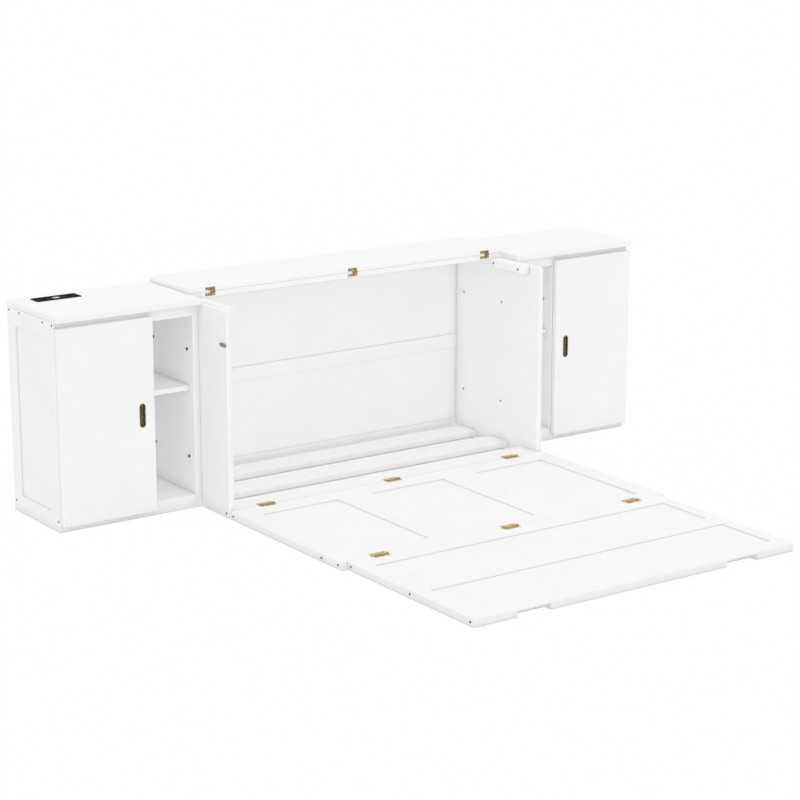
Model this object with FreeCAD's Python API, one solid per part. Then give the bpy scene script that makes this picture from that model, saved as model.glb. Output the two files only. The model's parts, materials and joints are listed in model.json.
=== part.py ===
import FreeCAD, Part
import os

os.makedirs("parts", exist_ok=True)
V = FreeCAD.Vector
X_AXIS = V(1, 0, 0)
Y_AXIS = V(0, 1, 0)
Z_AXIS = V(0, 0, 1)

# A chest wall bed laid open: an open-fronted chest between two low cabinets. Two framed panels fold
# out of the chest onto the floor and carry the mattress, a flap closes the chest's top, and each
# cabinet has one sliding door. X runs left to right, Y from the bed's foot to the wall, Z up.

# Overall sizes
chest_width = 1432.0
chest_depth = 556.0
height = 785.0
cabinet_width = 583.0
cabinet_depth = 359.0
board = 22.0
platform = 30.0
edge_round = 3.0
side_round = 6.0
overrun = 5.0
fit = 0.1

# Hinges let in flush: long barrels on the platform, a short barrel at one end of each flap hinge
knuckle_gap = 0.4
pin_fit = 0.05
run_gap = 0.5
groove_gap = 0.8
pin_head = 1.6
leaf_corner = 3.0
hinge_side_inset = 156.0
hinge_length = 66.0
hinge_leaf = 23.5
hinge_gauge = 2.2
hinge_barrel = 3.4
hinge_pin = 1.8
hinge_rise = 1.5
hinge_screw_rows = 3
hinge_knuckles = 5
flap_hinge_side_inset = 91.0
flap_hinge_length = 42.0
flap_hinge_leaf = 16.0
flap_hinge_gauge = 2.0
flap_hinge_setback = 5.0
flap_hinge_barrel_length = 18.0
flap_hinge_barrel = 3.0
flap_hinge_pin = 1.6
flap_hinge_rise = 1.5
flap_hinge_screw_rows = 2
flap_hinge_knuckles = 3
screw_spread_share = 0.3

# Screws and bolts
leaf_screw_head = 3.4
leaf_screw_shank = 1.6
leaf_screw_length = 14.0
board_screw_head = 4.5
board_screw_shank = 2.2
board_screw_length = 19.0
drive_width_share = 0.24
drive_depth_share = 0.35
bolt_thread = 2.6
bolt_head = 6.5
bolt_head_height = 3.5
sleeve_radius = 4.0
sleeve_length = 32.0
sleeve_head = 5.0
sleeve_head_height = 2.0
bolt_back_inset = 66.0
bolt_front_inset = 43.0
bolt_low = 186.0
bolt_top_inset = 195.0

# Chest: flap, cleats, floor slats and the framed back
flap_thickness = 18.0
seat_gap = 0.5
cleat_width = 42.0
cleat_height = 31.0
cleat_front = 64.0
cleat_screw_inset = 20.0
cleat_screw_drop = 15.0
rail_depth = 95.0
rail_screw_inset = 24.0
slat_thickness = 24.0
slat_width = 113.0
slat_gap = 94.0
bearer_width = 26.0
back_thickness = 18.0
back_field_inset = 5.0
back_field_thickness = 8.0
back_field_gap = 1.0
back_bottom_rail = 53.0
back_mid_rail = 56.0
back_mid_height_share = 0.498
back_top_rail = 65.0

# Panels: recessed fields in a frame, the outer panel narrower so it folds in between the sides
panel_gap = 1.0
panel_top_gap = 0.5
outer_panel_short = 19.2
fold_clearance = 3.0
field_recess = 4.5
field_thickness = 18.0
field_tongue = 8.0
inner_outer_stile = 80.0
inner_mid_stile = 150.0
inner_rear_rail = 100.0
inner_front_rail = 59.4
outer_stile = 53.0
outer_rear_rail = 84.6
outer_mid_rail = 80.0
outer_front_rail = 60.0
outer_rear_field = 238.0
notch_side_inset = 242.0
notch_width = 136.0
notch_height = 21.0
notch_depth = 34.0
notch_corner = 10.0
inner_screw_inset = 23.5
outer_screw_inset = 18.0
stile_bolt_spacing_x = 72.0
stile_bolt_spacing_y = 70.0
stile_bolt_setback = 276.0

# Latches: a hook on each chest side that swings over a stud in the inner panel's edge
stud_inset = 121.6
stud_shank = 2.5
stud_head = 4.5
stud_head_height = 1.5
stud_hold = 25.0
hook_pivot_inset = 9.0
hook_radius = 6.5
hook_gauge = 3.0
hook_tip_margin = 2.0
hook_slot_gap = 0.8
hook_flange = 1.5
pivot_shank = 3.0
pivot_head = 5.5
pivot_head_height = 2.5
pivot_hold = 18.0
axial_gap = 0.3

# Cabinets
cabinet_overhang = 30.0
wall_thickness = 25.0
side_member = 65.0
side_field_recess = 5.0
side_field_thickness = 10.0
side_plinth = 67.0
front_rail_thickness = 18.0
top_rail_height = 42.5
bottom_rail_height = 50.0
bottom_thickness = 18.0
cabinet_back = 10.0
partition_reveal = 3.0
partition_thickness = 16.0
shelf_top = 455.0
shelf_thickness = 18.0
shelf_setback = 31.0
side_screw_drop = 33.5
side_screw_rise = 40.0
side_screw_corner = 8.0
side_screw_back_corner = 17.0
side_screw_front_inset = 79.0
side_screw_back_inset = 97.0

# Sliding doors with their tracks, hangers, guides and flush pulls
door_width_share = 0.6484
door_bottom = 21.5
door_top_gap = 20.0
door_thickness = 22.0
door_front_gap = 5.0
door_side_inset = 4.0
track_width = 20.0
track_height = 11.0
track_wall = 1.5
track_slot = 7.0
track_end_gap = 10.0
hanger_inset = 14.0
hanger_stem = 2.5
hanger_hold = 14.0
roller_radius = 3.4
roller_width = 4.0
roller_gap = 0.3
axle_radius = 1.2
nut_radius = 4.5
nut_height = 3.0
guide_inset = 93.0
guide_width = 40.0
guide_fin = 4.0
guide_reach = 8.0
guide_plate = 2.0
guide_drop = 1.0
guide_tab_height = 16.0
guide_side_gap = 0.7
groove_depth = 11.0
pull_length = 89.0
pull_width = 24.5
pull_lip = 3.2
pull_rim_height = 1.5
pull_depth = 11.0
pull_wall = 1.2
pull_inset = 51.0
pull_rise = 5.0

# Flush power strip in the left cabinet's top
strip_length = 178.0
strip_width = 62.0
strip_corner = 6.0
strip_lip = 6.0
strip_rim = 2.5
strip_depth = 46.0
strip_wall = 2.0
strip_place_x = 159.0
strip_back_inset = 75.5
socket_radius = 13.0
socket_depth = 3.0
socket_place = 50.0
socket_sink = 1.0
insert_thickness = 10.0
blade_slot = 1.2
blade_height = 7.0
blade_place = 6.0
blade_depth = 5.0
earth_radius = 2.0
port_block_length = 26.0
port_block_width = 20.0
port_block_height = 7.0
port_block_rise = 0.6
port_length = 4.5
port_width = 13.0
port_depth = 5.0
port_place = 6.5

# Places that follow from the sizes
pin_z = platform + hinge_rise
inner_panel_depth = height - flap_thickness - panel_top_gap - hinge_barrel - pin_z
outer_panel_depth = inner_panel_depth - outer_panel_short
back_y = (chest_depth + inner_panel_depth + outer_panel_depth) / 2
hinge_y = back_y - chest_depth
fold_y = hinge_y - inner_panel_depth
front_y = fold_y - outer_panel_depth
half_chest = chest_width / 2
inner_face = half_chest - board
outer_half = inner_face - fold_clearance
side_height = height - board
flap_axis_y = (hinge_y - pin_z + back_y) / 2
cabinet_front = back_y - cabinet_depth
cabinet_outer = half_chest + cabinet_width
wall_face = half_chest + wall_thickness
side_face = cabinet_outer - board
back_face = back_y - back_thickness
stud_distance = inner_panel_depth - stud_inset
stud_z = pin_z + stud_distance
door_front = cabinet_front - cabinet_overhang + door_front_gap
door_back = door_front + door_thickness
door_middle = (door_front + door_back) / 2
door_width = cabinet_width * door_width_share
door_outer = cabinet_outer - door_side_inset
door_inner = door_outer - door_width
door_top = side_height - door_top_gap
partition_face = door_inner - partition_reveal


def box(xs, ys, zs):
    """A block between two limits on each axis, in either order."""
    low = V(min(xs), min(ys), min(zs))
    return Part.makeBox(abs(xs[1] - xs[0]), abs(ys[1] - ys[0]), abs(zs[1] - zs[0]), low)


def eased(shape, chosen=lambda bounds: True):
    """The board with its edges rounded over: all of them, or those whose bounds are chosen."""
    return shape.makeFillet(edge_round, [edge for edge in shape.Edges if chosen(edge.BoundBox)])


def eased_front(shape, front, chosen=lambda bounds: True):
    """The board with the edges of its front face rounded over."""
    return eased(shape, lambda bounds: bounds.YMax < front + edge_round and chosen(bounds))


def rod(radius, start, end):
    """A round bar between two points."""
    return Part.makeCylinder(radius, start.distanceToPoint(end), start, end - start)


def mirrored(shape):
    return shape.mirror(V(0, 0, 0), X_AXIS)


def moved(shape, place, axis=Z_AXIS, degrees=0):
    """A copy turned about the origin and carried to a place."""
    copy = shape.copy()
    copy.rotate(V(0, 0, 0), axis, degrees)
    copy.translate(place)
    return copy


def save(node, shapes):
    """Write one named node from one solid or a list of solids."""
    if not isinstance(shapes, list):
        shapes = [shapes]
    solids = [solid for shape in shapes for solid in shape.Solids]
    whole = solids[0] if len(solids) == 1 else Part.makeCompound(solids)
    whole.exportStep("parts/" + node + ".step")


def countersunk(head, shank, length):
    """A countersunk screw with a cross drive: head flush at z = 0, shank downwards."""
    sink = head - shank
    cone = Part.makeCone(head, shank, sink, V(0, 0, 0), -Z_AXIS)
    screw = cone.fuse(rod(shank, V(0, 0, -sink), V(0, 0, -length)))
    slot = head * drive_width_share / 2
    arm = head - sink * drive_depth_share * 2
    depth = sink * drive_depth_share
    cross = box((-arm, arm), (-slot, slot), (-depth, overrun))
    cross = cross.fuse(box((-slot, slot), (-arm, arm), (-depth, overrun)))
    return screw.cut(cross).removeSplitter()


def countersink(head, shank, length):
    """The hole that a countersunk screw fills, open above its head."""
    sink = head - shank
    cone = Part.makeCone(head, shank + fit, sink, V(0, 0, 0), -Z_AXIS)
    hole = cone.fuse(rod(shank + fit, V(0, 0, -sink), V(0, 0, -length - fit)))
    return hole.fuse(rod(head, V(0, 0, 0), V(0, 0, overrun)))


class Hinge:
    """A butt hinge lying open: its pin along X at y = z = 0, its leaves let in below z = -rise.

    Beside the barrel's span the leaves stand back from the pin by the setback."""

    def __init__(self, length, leaf, gauge, rise, setback):
        self.length = length
        self.leaf = leaf
        self.gauge = gauge
        self.rise = rise
        self.setback = setback

    def barrelled(self, span, barrel, pin, knuckles, rows):
        self.span = span
        self.barrel = barrel
        self.pin_radius = pin
        self.count = knuckles
        self.rows = rows
        return self

    def knuckles(self, odd, radius, grow):
        """Every second stretch of the barrel, longer by grow at each end."""
        pitch = (self.span[1] - self.span[0]) / self.count
        bars = []
        for index in range(odd, self.count, 2):
            start = self.span[0] + index * pitch + knuckle_gap / 2 - grow
            end = start + pitch - knuckle_gap + 2 * grow
            bars.append(rod(radius, V(start, 0, 0), V(end, 0, 0)))
        return bars

    def screw_places(self, side):
        spread = self.length * screw_spread_share
        step = 2 * spread / (self.rows - 1)
        y = side * (self.setback + self.leaf) / 2
        return [V(row * step - spread, y, -self.rise) for row in range(self.rows)]

    def outline(self, side, grow, zs):
        """A leaf's plate and the neck that joins it to the barrel."""
        half = self.length / 2 + grow
        plate = box((-half, half), (side * (self.setback - grow), side * (self.leaf + grow)), zs)
        neck = box((self.span[0] - grow, self.span[1] + grow), (0, side * self.setback), zs)
        return plate, neck

    def leaf_plate(self, odd):
        """One leaf with its knuckles: the even ones on the +Y leaf, the odd ones on the -Y leaf."""
        side = -1 if odd else 1
        plate, neck = self.outline(side, 0, (-self.rise - self.gauge, -self.rise))
        corners = [edge for edge in plate.Edges
                   if edge.BoundBox.ZLength > self.gauge / 2 and abs(edge.CenterOfMass.y) > self.leaf - fit]
        plate = plate.makeFillet(leaf_corner, corners)
        plate = plate.fuse([neck] + self.knuckles(odd, self.barrel, 0))
        plate = plate.cut(self.knuckles(1 - odd, self.barrel + run_gap, knuckle_gap))
        ends = V(self.span[0] - overrun, 0, 0), V(self.span[1] + overrun, 0, 0)
        plate = plate.cut(rod(self.pin_radius + pin_fit, ends[0], ends[1]))
        sink = countersink(leaf_screw_head, leaf_screw_shank, leaf_screw_length)
        for place in self.screw_places(side):
            plate = plate.cut(moved(sink, place))
        return plate.removeSplitter()

    def pin(self):
        """The pin with a cap that closes the barrel at each end."""
        start, end = self.span
        pin = rod(self.pin_radius, V(start, 0, 0), V(end, 0, 0))
        for x, way in ((start, -1), (end, 1)):
            pin = pin.fuse(rod(self.barrel, V(x, 0, 0), V(x + way * pin_head, 0, 0)))
        return pin.removeSplitter()

    def screws(self, side):
        screw = countersunk(leaf_screw_head, leaf_screw_shank, leaf_screw_length)
        return Part.makeCompound([moved(screw, place) for place in self.screw_places(side)])

    def mortise(self, side):
        """What a board loses to one leaf, its screws and the barrel."""
        plate, neck = self.outline(side, fit, (-self.rise - self.gauge, overrun))
        past = pin_head + groove_gap
        groove = rod(self.barrel + groove_gap, V(self.span[0] - past, 0, 0), V(self.span[1] + past, 0, 0))
        sink = countersink(leaf_screw_head, leaf_screw_shank, leaf_screw_length)
        return plate.fuse([neck, groove] + [moved(sink, place) for place in self.screw_places(side)])


platform_hinge = Hinge(hinge_length, hinge_leaf, hinge_gauge, hinge_rise, hinge_barrel)
platform_hinge.barrelled((-hinge_length / 2, hinge_length / 2), hinge_barrel, hinge_pin, hinge_knuckles,
                         hinge_screw_rows)
flap_hinge = Hinge(flap_hinge_length, flap_hinge_leaf, flap_hinge_gauge, flap_hinge_rise,
                   flap_hinge_setback)
flap_barrel_end = flap_hinge_length / 2 - pin_head
flap_hinge.barrelled((flap_barrel_end - flap_hinge_barrel_length, flap_barrel_end), flap_hinge_barrel,
                     flap_hinge_pin, flap_hinge_knuckles, flap_hinge_screw_rows)


def base_hinges(shape):
    """Copies at the three hinges between the chest's front rail and the inner panel."""
    side = half_chest - hinge_side_inset
    return [moved(shape, V(x, hinge_y, pin_z)) for x in (-side, 0, side)]


def fold_hinges(shape):
    """Copies at the three hinges between the two panels."""
    side = half_chest - hinge_side_inset
    return [moved(shape, V(x, fold_y, pin_z)) for x in (-side, 0, side)]


def flap_hinges(shape):
    """Copies at the three hinges on the front edges of the chest's top and its flap."""
    side = half_chest - flap_hinge_side_inset
    return [moved(shape, V(x, flap_axis_y, height), X_AXIS, 90) for x in (-side, 0, side)]


def bolt_points():
    ys = (back_y - bolt_back_inset, cabinet_front + bolt_front_inset)
    return [(y, z) for y in ys for z in (bolt_low, height - bolt_top_inset)]


def chest_side():
    """The right side: rounded front edge, bolt holes, and holes for the latch and the rail's screw."""
    side = box((inner_face, half_chest), (hinge_y, back_y), (0, side_height))
    upright = [edge for edge in side.Edges
               if edge.BoundBox.ZLength > edge_round and edge.BoundBox.YMax < hinge_y + edge_round]
    side = side.makeFillet(side_round, upright)
    for y, z in bolt_points():
        ends = V(inner_face - overrun, y, z), V(half_chest + overrun, y, z)
        side = side.cut(rod(sleeve_radius + fit, ends[0], ends[1]))
    pivot = V(half_chest, hinge_y + hook_pivot_inset, stud_z)
    side = side.cut(rod(pivot_shank + fit, pivot + X_AXIS * overrun, pivot - X_AXIS * pivot_hold))
    sink = countersink(board_screw_head, board_screw_shank, board_screw_length)
    return side.cut(moved(sink, V(half_chest, hinge_y + rail_screw_inset, platform / 2), Y_AXIS, 90))


def cleat_points():
    ends = (hinge_y + cleat_front, flap_axis_y - flap_hinge_rise)
    z = height - flap_thickness - seat_gap - cleat_screw_drop
    return [(y, z) for y in (ends[0] + cleat_screw_inset, ends[1] - cleat_screw_inset)]


def cleat():
    """The right cleat that the closed flap lies on."""
    top = height - flap_thickness - seat_gap
    xs = (inner_face - cleat_width, inner_face)
    ys = (hinge_y + cleat_front, flap_axis_y - flap_hinge_rise)
    block = eased(box(xs, ys, (top - cleat_height, top)))
    sink = countersink(board_screw_head, board_screw_shank, board_screw_length)
    for y, z in cleat_points():
        block = block.cut(moved(sink, V(xs[0], y, z), Y_AXIS, -90))
    return block


def chest_top():
    """The fixed rear half of the top, with the flap's hinges in its front edge."""
    ys = (flap_axis_y + flap_hinge_rise, back_y)
    top = box((-half_chest, half_chest), ys, (side_height, height))
    top = eased_front(top, ys[0], lambda bounds: bounds.ZMax < height)
    return top.cut(flap_hinges(flap_hinge.mortise(-1)))


def flap_board():
    """The flap, folded back on the fixed top."""
    ys = (flap_axis_y + flap_hinge_rise, back_y)
    flap = eased(box((-half_chest, half_chest), ys, (height, height + flap_thickness)))
    return flap.cut(flap_hinges(flap_hinge.mortise(1)))


def front_rail():
    """The chest's floor rail that carries the inner panel's hinges."""
    rail = box((-inner_face, inner_face), (hinge_y + panel_gap / 2, hinge_y + rail_depth), (0, platform))
    return rail.cut(base_hinges(platform_hinge.mortise(1)))


def slats():
    """Two floor slats behind the rail, level with the platform."""
    boards = []
    for index in range(2):
        start = hinge_y + rail_depth + slat_gap + index * (slat_width + slat_gap)
        ys = (start, min(start + slat_width, back_face))
        boards.append(eased(box((-inner_face, inner_face), ys, (platform - slat_thickness, platform))))
    return boards


def bearer():
    """The right strip on the floor that carries the slats' ends."""
    return box((inner_face - bearer_width, inner_face), (hinge_y + rail_depth, back_face),
               (0, platform - slat_thickness))


def back_field_spans():
    """Heights of the lower and the upper field, on both sides of a middle rail."""
    low = back_bottom_rail
    high = side_height - back_top_rail
    middle = side_height * back_mid_height_share
    return [(low, middle - back_mid_rail / 2), (middle + back_mid_rail / 2, high)]


def back_rails():
    """The chest's back: three rails from side to side, grooved for the fields between them."""
    lower, upper = back_field_spans()
    spans = ((0, lower[0]), (lower[1], upper[0]), (upper[1], side_height))
    fields = back_panels()
    return [box((-inner_face, inner_face), (back_face, back_y), zs).cut(fields) for zs in spans]


def back_panels():
    """The two fields of the chest's back, held by the rails above and below them."""
    start = back_face + back_field_inset
    ys = (start, start + back_field_thickness)
    half = inner_face - back_field_gap
    return [box((-half, half), ys, (low - field_tongue, high + field_tongue))
            for low, high in back_field_spans()]


def framed(half_width, ys, members, fields):
    """Frame members cut from one rounded slab, grooved for recessed fields: the two lists of solids."""
    slab = eased(box((-half_width, half_width), ys, (0, platform)))
    top = platform - field_recess
    boards = []
    for xs, spans in fields:
        grown_x = (min(xs) - field_tongue, max(xs) + field_tongue)
        grown_y = (min(spans) - field_tongue, max(spans) + field_tongue)
        boards.append(box(grown_x, grown_y, (top - field_thickness, top)))
    frame = [slab.common(box(xs, spans, (0, platform))).cut(boards) for xs, spans in members]
    return frame, boards


def inner_panel():
    """The panel hinged to the chest: outer stiles, mid stiles, rails and three fields."""
    ys = (fold_y + panel_gap / 2, hinge_y - panel_gap / 2)
    rear = hinge_y - inner_rear_rail
    front = fold_y + inner_front_rail
    edge = half_chest - inner_outer_stile
    field = (2 * edge - 2 * inner_mid_stile) / 3
    stiles = [((-half_chest, -edge), ys), ((edge, half_chest), ys)]
    for side in (-1, 1):
        stiles.append(((side * field / 2, side * (field / 2 + inner_mid_stile)), (front, rear)))
    rails = [((-edge, edge), (rear, ys[1])), ((-edge, edge), (ys[0], front))]
    centres = [index * (field + inner_mid_stile) for index in (-1, 0, 1)]
    fields = [((centre - field / 2, centre + field / 2), (front, rear)) for centre in centres]
    members, boards = framed(half_chest, ys, stiles + rails, fields)
    cuts = base_hinges(platform_hinge.mortise(-1)) + fold_hinges(platform_hinge.mortise(1))
    cuts += edge_sinks(half_chest, hinge_y, inner_screw_distances())
    cuts += [moved(countersink(board_screw_head, board_screw_shank, board_screw_length), place)
             for place in stile_bolts(field)]
    stud = rod(stud_shank + fit, V(half_chest + overrun, 0, 0), V(half_chest - stud_hold, 0, 0))
    stud = moved(stud, V(0, hinge_y - stud_distance, platform / 2))
    members = [member.cut(cuts + [stud, mirrored(stud)]) for member in members]
    return members[:len(stiles)], members[len(stiles):], boards, field


def stile_bolts(field):
    """Four fixings in the middle of each mid stile."""
    middle = (field + inner_mid_stile) / 2
    y = hinge_y - inner_rear_rail - stile_bolt_setback
    return [V(side * middle + i * stile_bolt_spacing_x / 2, y + j * stile_bolt_spacing_y / 2, platform)
            for side in (-1, 1) for i in (-1, 1) for j in (-1, 1)]


def inner_screw_distances():
    return inner_screw_inset, inner_panel_depth - inner_screw_inset


def outer_screw_distances():
    middle = outer_rear_rail + outer_rear_field + outer_mid_rail / 2
    return outer_screw_inset, middle, outer_panel_depth - outer_screw_inset


def edge_points(half_width, start_y, distances):
    return [(side, V(side * half_width, start_y - distance, platform / 2))
            for side in (-1, 1) for distance in distances]


def edge_sinks(half_width, start_y, distances):
    sink = countersink(board_screw_head, board_screw_shank, board_screw_length)
    points = edge_points(half_width, start_y, distances)
    return [moved(sink, place, Y_AXIS, side * 90) for side, place in points]


def edge_screws(half_width, start_y, distances):
    screw = countersunk(board_screw_head, board_screw_shank, board_screw_length)
    points = edge_points(half_width, start_y, distances)
    return [moved(screw, place, Y_AXIS, side * 90) for side, place in points]


def outer_panel():
    """The foot panel: two stiles, three rails, two long fields and finger notches under its edge."""
    ys = (front_y, fold_y - panel_gap / 2)
    edge = outer_half - outer_stile
    rear = fold_y - outer_rear_rail
    middle = rear - outer_rear_field
    front = front_y + outer_front_rail
    stiles = [((-outer_half, -edge), ys), ((edge, outer_half), ys)]
    rails = [((-edge, edge), (rear, ys[1])), ((-edge, edge), (middle - outer_mid_rail, middle)),
             ((-edge, edge), (ys[0], front))]
    fields = [((-edge, edge), (middle, rear)), ((-edge, edge), (front, middle - outer_mid_rail))]
    members, boards = framed(outer_half, ys, stiles + rails, fields)
    cuts = fold_hinges(platform_hinge.mortise(-1)) + edge_sinks(outer_half, fold_y, outer_screw_distances())
    cuts += [notch(), mirrored(notch())]
    members = [member.cut(cuts) for member in members]
    return members[:len(stiles)], members[len(stiles):], boards


def notch():
    """The space under the right finger grip, round at its inner corners."""
    middle = outer_half - notch_side_inset
    xs = (middle - notch_width / 2, middle + notch_width / 2)
    block = box(xs, (front_y - overrun, front_y + notch_depth), (-overrun, notch_height))
    corners = [edge for edge in block.Edges
               if edge.BoundBox.YMin > front_y and edge.BoundBox.ZLength > notch_height]
    return block.makeFillet(notch_corner, corners)


def catch_stud():
    """The right stud in the inner panel's edge, with a head that keeps the hook on."""
    reach = half_chest + hook_flange + hook_gauge + 2 * axial_gap
    stud = rod(stud_shank, V(half_chest - stud_hold, 0, 0), V(reach, 0, 0))
    stud = stud.fuse(rod(stud_head, V(reach, 0, 0), V(reach + stud_head_height, 0, 0)))
    return moved(stud.removeSplitter(), V(0, hinge_y - stud_distance, platform / 2))


def hook():
    """The right hook, lying back along the chest's side: a round-ended plate with a slot for the stud."""
    inside = half_chest + hook_flange + axial_gap
    swing = hook_pivot_inset + hinge_rise + platform / 2
    end = swing + hook_tip_margin
    plate = rod(hook_radius, V(inside, 0, 0), V(inside + hook_gauge, 0, 0))
    plate = plate.fuse(moved(plate, V(0, end, 0)))
    plate = plate.fuse(box((inside, inside + hook_gauge), (0, end), (-hook_radius, hook_radius)))
    slot = stud_shank + hook_slot_gap
    past = inside + hook_gauge + overrun
    cut = rod(slot, V(inside - overrun, swing, 0), V(past, swing, 0))
    cut = cut.fuse(box((inside - overrun, past), (swing - slot, swing + slot), (0, hook_radius + overrun)))
    plate = plate.cut(cut)
    plate = plate.cut(rod(pivot_shank + pin_fit, V(inside - overrun, 0, 0), V(past, 0, 0)))
    return moved(plate.removeSplitter(), V(0, hinge_y + hook_pivot_inset, stud_z))


def latch_pivot():
    """The right hook's shouldered screw."""
    outside = half_chest + hook_flange + hook_gauge + 2 * axial_gap
    pivot = rod(pivot_shank, V(half_chest - pivot_hold, 0, 0), V(outside, 0, 0))
    pivot = pivot.fuse(rod(pivot_head, V(half_chest, 0, 0), V(half_chest + hook_flange, 0, 0)))
    pivot = pivot.fuse(rod(pivot_head, V(outside, 0, 0), V(outside + pivot_head_height, 0, 0)))
    return moved(pivot.removeSplitter(), V(0, hinge_y + hook_pivot_inset, stud_z))


def joining_bolts():
    """Dome-headed bolts that reach from the right cabinet into the chest's sleeve nuts."""
    bolts = []
    for y, z in bolt_points():
        neck = V(wall_face, y, z)
        bolt = rod(bolt_thread, neck, V(inner_face + sleeve_head_height, y, z))
        head = Part.makeCone(bolt_head, sleeve_radius, bolt_head_height, neck, X_AXIS)
        bolts.append(bolt.fuse(head).removeSplitter())
    return bolts


def sleeve_nuts():
    """Flanged sleeves in the chest's right side that take the bolts' threads."""
    nuts = []
    for y, z in bolt_points():
        flange = V(inner_face, y, z)
        mouth = V(inner_face + sleeve_length, y, z)
        nut = rod(sleeve_radius, flange, mouth)
        nut = nut.fuse(Part.makeCone(sleeve_head, sleeve_radius, sleeve_head_height, flange, -X_AXIS))
        bottom = V(inner_face + sleeve_head_height - pin_fit, y, z)
        bore = rod(bolt_thread + pin_fit, bottom, mouth + X_AXIS * overrun)
        nuts.append(nut.cut(bore).removeSplitter())
    return nuts


def inner_wall():
    """The right cabinet's wall against the chest."""
    wall = box((half_chest, wall_face), (cabinet_front, back_y), (0, side_height))
    wall = eased_front(wall, cabinet_front, lambda bounds: bounds.XMin > half_chest)
    for y, z in bolt_points():
        ends = V(half_chest - overrun, y, z), V(wall_face + overrun, y, z)
        wall = wall.cut(rod(sleeve_radius + fit, ends[0], ends[1]))
    return wall


def side_screw_points():
    corners = [cabinet_front + side_screw_corner, back_y - side_screw_back_corner]
    between = [cabinet_front + side_screw_front_inset, back_y - side_screw_back_inset]
    points = [(y, height - side_screw_drop) for y in corners + between]
    return points + [(y, side_screw_rise) for y in corners]


def side_field():
    """The right cabinet's recessed outer field."""
    outside = cabinet_outer - side_field_recess
    ys = (cabinet_front + side_member - field_tongue, back_y - side_member + field_tongue)
    zs = (side_plinth - field_tongue, side_height - side_member + field_tongue)
    return box((outside - side_field_thickness, outside), ys, zs)


def side_frame():
    """Stiles and rails of the right cabinet's outer side."""
    ys = (cabinet_front + side_member, back_y - side_member)
    spans = [((cabinet_front, ys[0]), (0, side_height)), ((ys[1], back_y), (0, side_height)),
             (ys, (0, side_plinth)), (ys, (side_height - side_member, side_height))]
    sink = countersink(board_screw_head, board_screw_shank, board_screw_length)
    cuts = [moved(sink, V(cabinet_outer, y, z), Y_AXIS, 90) for y, z in side_screw_points()]
    slab = box((side_face, cabinet_outer), (cabinet_front, back_y), (0, side_height))
    slab = eased(slab, lambda bounds: bounds.ZLength > edge_round and bounds.XMin > side_face)
    slab = slab.cut(cuts + [side_field()])
    return [slab.common(box((side_face, cabinet_outer), span, zs)) for span, zs in spans]


def cabinet_top():
    """The right cabinet's top, overhanging the door, with the door's track let in from below."""
    ys = (cabinet_front - cabinet_overhang, back_y)
    top = box((half_chest, cabinet_outer), ys, (side_height, height))
    low = cabinet_front - cabinet_overhang + edge_round
    top = eased(top, lambda bounds: bounds.YMax < low or bounds.XMin > cabinet_outer - edge_round)
    return top.cut(track_channel())


def front_rails():
    """The right cabinet's top and bottom rails behind the door."""
    ys = (cabinet_front, cabinet_front + front_rail_thickness)
    xs = (wall_face, side_face)
    return [box(xs, ys, (side_height - top_rail_height, side_height)), box(xs, ys, (0, bottom_rail_height))]


def cabinet_bottom():
    ys = (cabinet_front + front_rail_thickness, back_y - cabinet_back)
    return box((wall_face, side_face), ys, (bottom_rail_height - bottom_thickness, bottom_rail_height))


def cabinet_back_board():
    return box((wall_face, side_face), (back_y - cabinet_back, back_y), (0, side_height))


def partition():
    """The upright beside the right niche, notched round the top rail."""
    xs = (partition_face, partition_face + partition_thickness)
    upright = box(xs, (cabinet_front, back_y - cabinet_back), (bottom_rail_height, side_height))
    upright = eased_front(upright, cabinet_front, lambda bounds: bounds.ZLength > edge_round)
    return upright.cut(front_rails())


def shelf():
    ys = (cabinet_front + shelf_setback, back_y - cabinet_back)
    board_box = box((wall_face, partition_face), ys, (shelf_top - shelf_thickness, shelf_top))
    return eased_front(board_box, ys[0], lambda bounds: bounds.XLength > edge_round)


def track_channel():
    """The right door's track before it is hollowed, sunk into the top board's underside."""
    xs = (half_chest + track_end_gap, cabinet_outer - track_end_gap)
    half = track_width / 2
    return box(xs, (door_middle - half, door_middle + half), (side_height, side_height + track_height))


def track():
    """The right door's track: a channel open below along a slot."""
    channel = track_channel()
    past = (channel.BoundBox.XMin - overrun, channel.BoundBox.XMax + overrun)
    inside = track_width / 2 - track_wall
    roof = side_height + track_height - track_wall
    hollow = box(past, (door_middle - inside, door_middle + inside), (side_height + track_wall, roof))
    slot_ys = (door_middle - track_slot / 2, door_middle + track_slot / 2)
    return channel.cut(hollow.fuse(box(past, slot_ys, (side_height - overrun, roof))))


def hanger_places():
    return [V(x, door_middle, door_top) for x in (door_inner + hanger_inset, door_outer - hanger_inset)]


def hanger():
    """A stem with its nut, axle and two rollers, standing in the door's top edge at the origin."""
    axle_z = side_height + track_wall + roller_gap + roller_radius - door_top
    stem = rod(hanger_stem, V(0, 0, -hanger_hold), V(0, 0, axle_z + axle_radius))
    stem = stem.fuse(rod(nut_radius, V(0, 0, 0), V(0, 0, nut_height)))
    near = track_slot / 2 + roller_gap
    far = near + roller_width
    stem = stem.fuse(rod(axle_radius, V(0, -far, axle_z), V(0, far, axle_z)))
    for side in (-1, 1):
        stem = stem.fuse(rod(roller_radius, V(0, side * near, axle_z), V(0, side * far, axle_z)))
    return stem.removeSplitter()


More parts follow.
